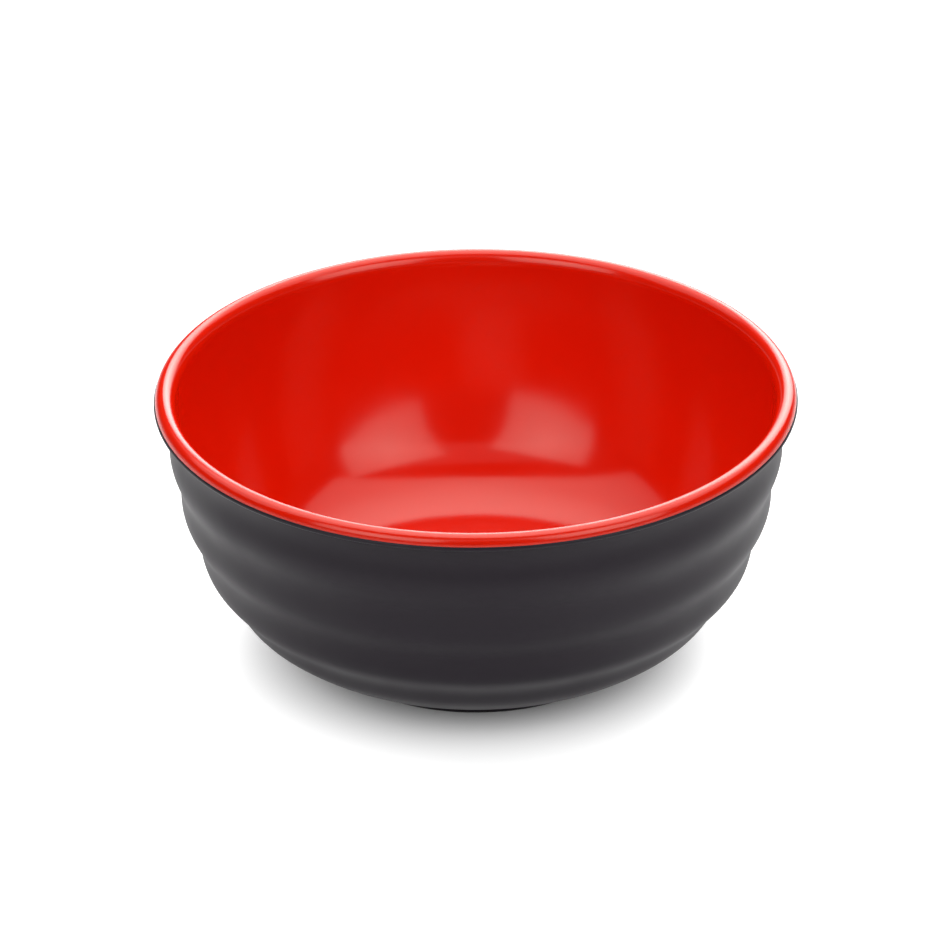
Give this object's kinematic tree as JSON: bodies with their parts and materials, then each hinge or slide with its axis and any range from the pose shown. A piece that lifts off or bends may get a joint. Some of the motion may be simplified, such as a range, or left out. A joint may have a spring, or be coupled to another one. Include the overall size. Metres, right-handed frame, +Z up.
{
  "type": "ribbed melamine bowl",
  "caption": "Deep round two-tone melamine bowl: black ribbed outer shell on a foot ring, and a glossy red liner whose rounded bead caps the rim. Holds soup, rice or noodles.",
  "frame": {"origin": "on the table at the centre of the foot ring", "axes": "+Z up along the bowl's axis; the bowl is round, so +X and +Y are any two level directions at right angles"},
  "size_m": [0.18, 0.18, 0.0798],
  "materials": {
    "outer_shell": "black melamine, fine satin",
    "inner_liner": "red melamine, glazed to a gloss"
  },
  "bodies": {
    "root": {"outer_shell": "outer_shell", "inner_liner": "inner_liner"}
  },
  "joints": []
}
